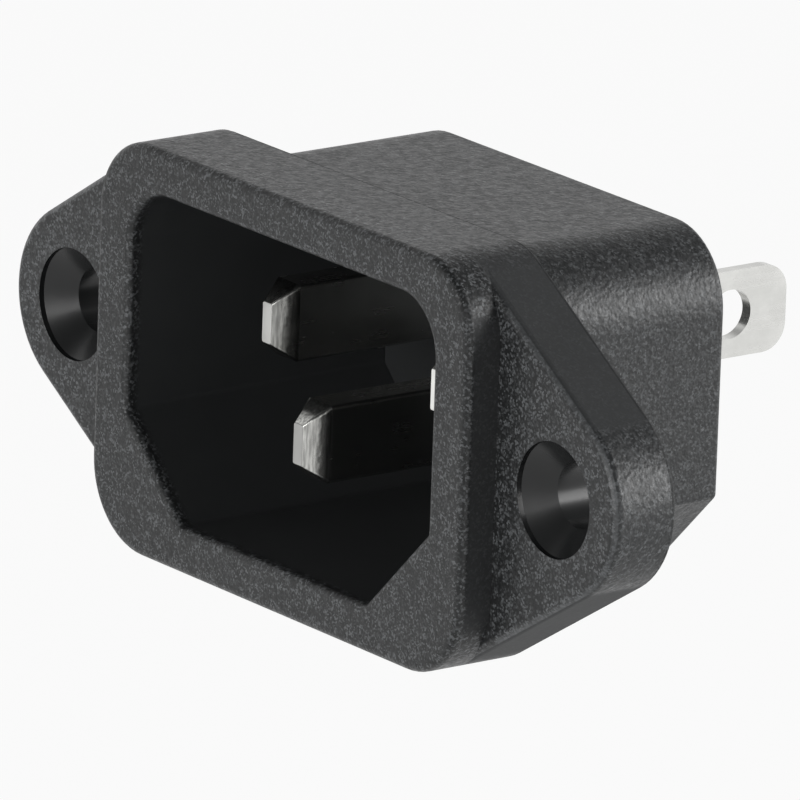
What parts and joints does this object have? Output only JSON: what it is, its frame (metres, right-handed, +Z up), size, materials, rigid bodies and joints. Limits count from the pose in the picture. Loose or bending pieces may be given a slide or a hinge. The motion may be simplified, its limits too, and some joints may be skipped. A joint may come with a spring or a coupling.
{
  "type": "panel inlet socket",
  "caption": "Screw-mounted panel power inlet: raised keyed socket with flat blades inside, a flange with countersunk ears, a box body and flat solder tabs at the rear.",
  "frame": {"origin": "midway between the two screw holes, on the flange's rear face, which meets the panel", "axes": "+X to the right seen from the front, +Y to the rear along the blades, +Z up, with the keying chamfers at the bottom"},
  "size_m": [0.05, 0.026, 0.0211],
  "materials": {
    "moulding": "spark-eroded black thermoplastic, smooth in the countersinks",
    "plated_contact": "bright nickel plating over brass"
  },
  "bodies": {
    "root": {"housing": "moulding", "left_contact": "plated_contact", "right_contact": "plated_contact", "earth_contact": "plated_contact"}
  },
  "joints": []
}
